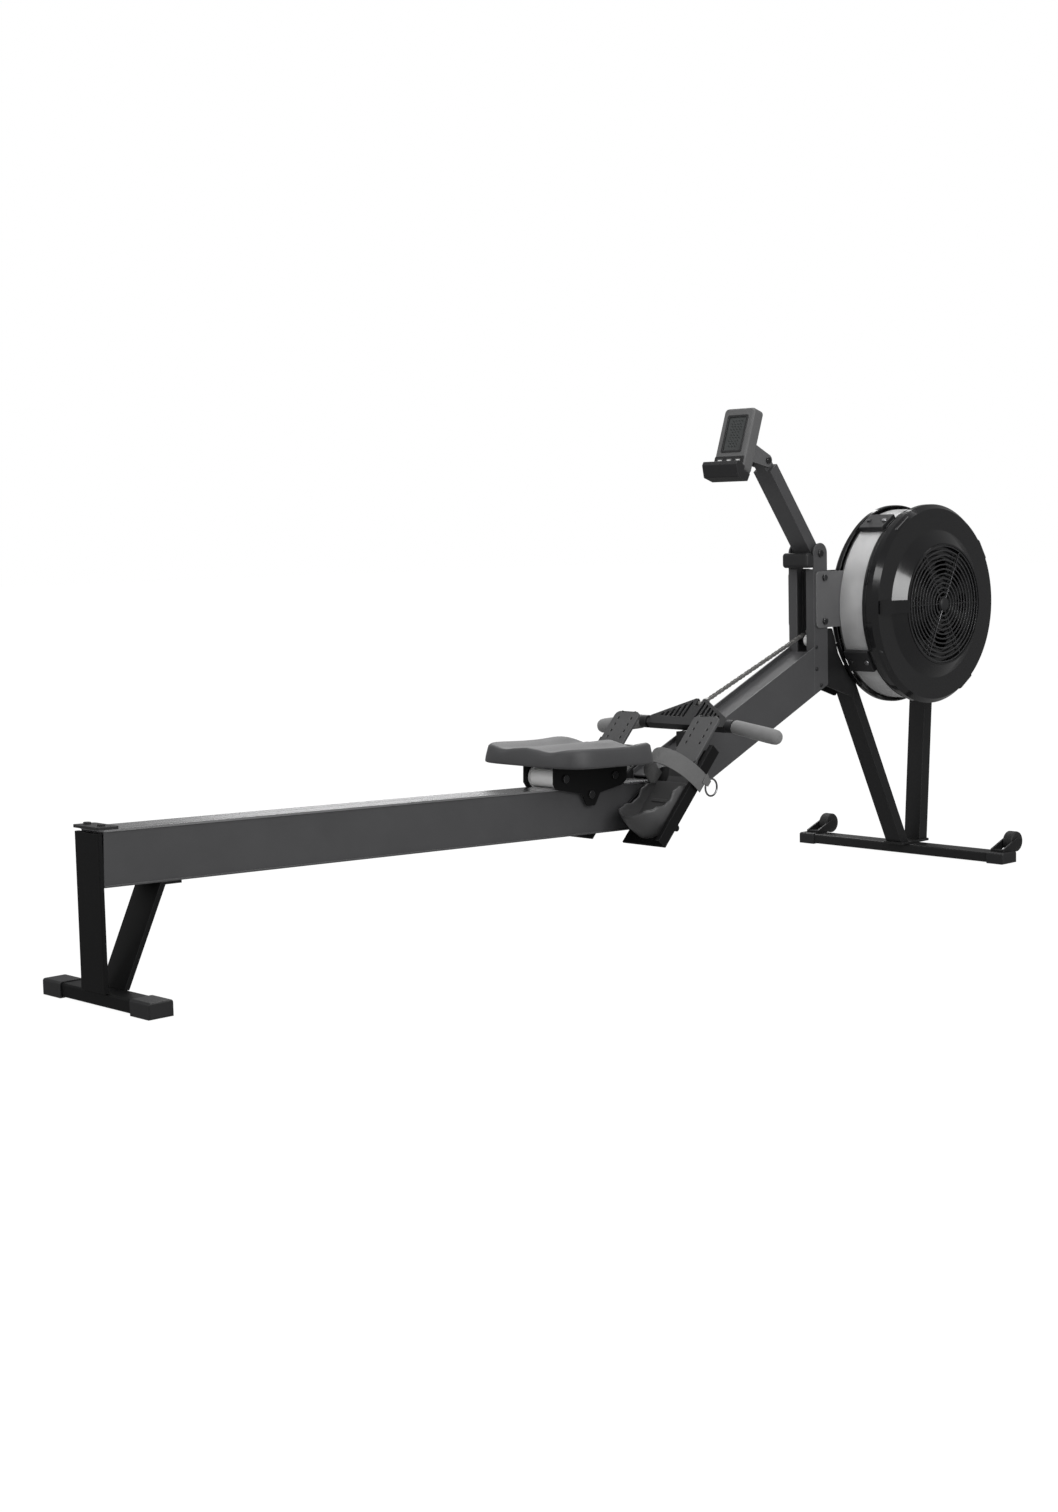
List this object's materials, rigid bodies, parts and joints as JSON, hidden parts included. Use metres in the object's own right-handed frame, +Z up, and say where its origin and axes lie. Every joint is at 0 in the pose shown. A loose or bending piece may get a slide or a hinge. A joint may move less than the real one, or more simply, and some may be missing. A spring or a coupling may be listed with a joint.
{
  "type": "rowing machine",
  "caption": "Air-resistance rowing machine with a long seat rail, sliding seat on rollers, angled beam, side-mounted fan housing, pull handle on a chain and a hinged monitor arm.",
  "frame": {"origin": "on the floor under the middle of the whole machine's length and width", "axes": "+X from the rear foot to the flywheel, +Y to the rower's left, +Z up"},
  "size_m": [2.468, 0.61, 1.0575],
  "materials": {
    "rail_paint": "satin charcoal powder coat",
    "steel_track": "brushed stainless strip",
    "black_frame": "satin black powder coat",
    "black_plastic": "moulded",
    "gloss_cover": "gloss black moulding",
    "mesh_steel": "fine perforated steel sheet",
    "bolt_steel": "zinc plated",
    "chain_nickel": "nickel plated",
    "roller_white": "white nylon",
    "handle_metal": "black",
    "grip_rubber": "dark grey foam rubber",
    "cord_elastic": "braided elastic cord",
    "fan_plastic": "moulded fan on a steel disc",
    "heel_plastic": "flexible moulding",
    "strap_web": "grey webbing",
    "seat_foam": "moulded seat",
    "caster_rubber": "black",
    "bracket_grey": "grey",
    "case_grey": "grey moulding",
    "screen_glass": "dark display",
    "button_white": "grey keys"
  },
  "bodies": {
    "frame": {"rail_box": "rail_paint", "rail_track": "steel_track", "rail_end_cap": "black_plastic", "rear_leg": "black_frame", "rear_foot_bar": "black_frame", "front_foot_bar": "black_frame", "foot_caps": "black_plastic", "main_beam": "rail_paint", "joint_plates": "rail_paint", "uprights": "rail_paint", "arm_rest_block": "black_plastic", "fork_plate_right": "rail_paint", "fork_plate_left": "rail_paint", "axle_bearings": "bolt_steel", "front_legs": "black_frame", "leg_brackets": "black_frame", "caster_forks": "black_frame", "housing_cover_right": "gloss_cover", "housing_cover_left": "gloss_cover", "mesh_band": "mesh_steel", "housing_clamps": "black_plastic", "intake_grille": "gloss_cover", "pulley_axles": "bolt_steel", "chain_return": "chain_nickel", "chain_run": "chain_nickel", "shock_cord": "cord_elastic", "handle_rest": "black_plastic", "footboards": "black_frame", "foot_straps": "strap_web", "strap_rings": "bolt_steel", "frame_bolts": "bolt_steel"},
    "seat": {"seat_pad": "seat_foam", "seat_carriage": "black_plastic", "carriage_axles": "bolt_steel"},
    "roller_rear": {"top_roller_rear": "roller_white"},
    "roller_front": {"top_roller_front": "roller_white"},
    "rollers_under": {"guide_rollers": "roller_white"},
    "shackle": {"chain_shackle": "chain_nickel"},
    "handle": {"handle_bar": "handle_metal", "handle_frame": "black_plastic", "handle_grips": "grip_rubber"},
    "sprocket": {"sprocket": "chain_nickel"},
    "idler": {"chain_idler": "roller_white"},
    "cord_wheel": {"cord_pulley": "roller_white"},
    "flywheel": {"fan_wheel": "fan_plastic", "flywheel_axle": "bolt_steel"},
    "damper": {"damper_lever": "gloss_cover"},
    "arm": {"monitor_arm": "rail_paint", "tilt_bolt": "bolt_steel"},
    "monitor": {"monitor_bracket": "bracket_grey", "monitor_case": "case_grey", "screen": "screen_glass", "monitor_ledge": "black_plastic"},
    "key_left": {"button_left": "button_white"},
    "key_middle": {"button_middle": "button_white"},
    "key_right": {"button_right": "button_white"},
    "heel_right": {"heel_cup_right": "heel_plastic"},
    "heel_left": {"heel_cup_left": "heel_plastic"},
    "wheel_right": {"caster_wheel_right": "caster_rubber"},
    "wheel_left": {"caster_wheel_left": "caster_rubber"}
  },
  "joints": [
    {"name": "seat_slide", "type": "slide", "parent": "frame", "child": "seat", "axis": [-0.9995, 0, 0.0323], "range_m": [0, 0.94]},
    {"name": "roller_rear_spin", "type": "hinge", "parent": "seat", "child": "roller_rear", "pos_m": [-0.12235, 0, 0.29462], "axis": [0, 1, 0], "continuous": true},
    {"name": "roller_front_spin", "type": "hinge", "parent": "seat", "child": "roller_front", "pos_m": [0.02165, 0, 0.28997], "axis": [0, 1, 0], "continuous": true},
    {"name": "under_roller_spin", "type": "hinge", "parent": "seat", "child": "rollers_under", "pos_m": [-0.04853, 0, 0.25582], "axis": [0, 1, 0], "continuous": true},
    {"name": "handle_draw", "type": "slide", "parent": "frame", "child": "shackle", "axis": [-0.766, 0, 0.6428], "range_m": [0, 0.75], "stiffness_N_per_m": 30, "springref_m": -1, "deforming": ["chain_run"]},
    {"name": "handle_pitch", "type": "hinge", "parent": "shackle", "child": "handle", "pos_m": [0.34573, 0, 0.41299], "axis": [0, 1, 0], "range_deg": [0, 62]},
    {"name": "sprocket_spin", "type": "hinge", "parent": "frame", "child": "sprocket", "pos_m": [1.002, 0, 0.608], "axis": [0, 1, 0], "continuous": true},
    {"name": "idler_spin", "type": "hinge", "parent": "frame", "child": "idler", "pos_m": [0.719, 0, 0.534], "axis": [0, 1, 0], "continuous": true},
    {"name": "cord_pulley_spin", "type": "hinge", "parent": "frame", "child": "cord_wheel", "pos_m": [0.2027, 0, 0.2416], "axis": [0, 1, 0], "continuous": true},
    {"name": "flywheel_spin", "type": "hinge", "parent": "frame", "child": "flywheel", "pos_m": [1.002, 0, 0.608], "axis": [0, 1, 0], "continuous": true},
    {"name": "damper_turn", "type": "hinge", "parent": "frame", "child": "damper", "pos_m": [1.002, 0, 0.608], "axis": [0, 1, 0], "range_deg": [0, 40]},
    {"name": "monitor_arm_pivot", "type": "hinge", "parent": "frame", "child": "arm", "pos_m": [0.717, 0, 0.733], "axis": [0, 1, 0], "range_deg": [-24, 20]},
    {"name": "monitor_tilt", "type": "hinge", "parent": "arm", "child": "monitor", "pos_m": [0.558, 0, 0.943], "axis": [0, 1, 0], "range_deg": [-20, 20]},
    {"name": "press_left", "type": "slide", "parent": "monitor", "child": "key_left", "axis": [0.9444, 0, -0.3289], "range_m": [0, 0.0012], "stiffness_N_per_m": 300},
    {"name": "press_middle", "type": "slide", "parent": "monitor", "child": "key_middle", "axis": [0.9444, 0, -0.3289], "range_m": [0, 0.0012], "stiffness_N_per_m": 300},
    {"name": "press_right", "type": "slide", "parent": "monitor", "child": "key_right", "axis": [0.9444, 0, -0.3289], "range_m": [0, 0.0012], "stiffness_N_per_m": 300},
    {"name": "heel_slide_right", "type": "slide", "parent": "frame", "child": "heel_right", "axis": [0.682, 0, 0.7314], "range_m": [0, 0.06]},
    {"name": "heel_slide_left", "type": "slide", "parent": "frame", "child": "heel_left", "axis": [0.682, 0, 0.7314], "range_m": [0, 0.06]},
    {"name": "caster_spin_right", "type": "hinge", "parent": "frame", "child": "wheel_right", "pos_m": [1.13, -0.276, 0.044], "axis": [0, 1, 0], "continuous": true},
    {"name": "caster_spin_left", "type": "hinge", "parent": "frame", "child": "wheel_left", "pos_m": [1.13, 0.276, 0.044], "axis": [0, 1, 0], "continuous": true}
  ],
  "couplings": [
    {"joint": "roller_rear_spin", "follows": "seat_slide", "rad_per_m": -50.761},
    {"joint": "roller_front_spin", "follows": "seat_slide", "rad_per_m": -50.761},
    {"joint": "under_roller_spin", "follows": "seat_slide", "rad_per_m": 83.333},
    {"joint": "handle_pitch", "follows": "handle_draw", "rad_per_m": 1.4288},
    {"joint": "sprocket_spin", "follows": "handle_draw", "rad_per_m": -29.31},
    {"joint": "idler_spin", "follows": "handle_draw", "rad_per_m": -65.385},
    {"joint": "cord_pulley_spin", "follows": "handle_draw", "rad_per_m": 42.5}
  ]
}
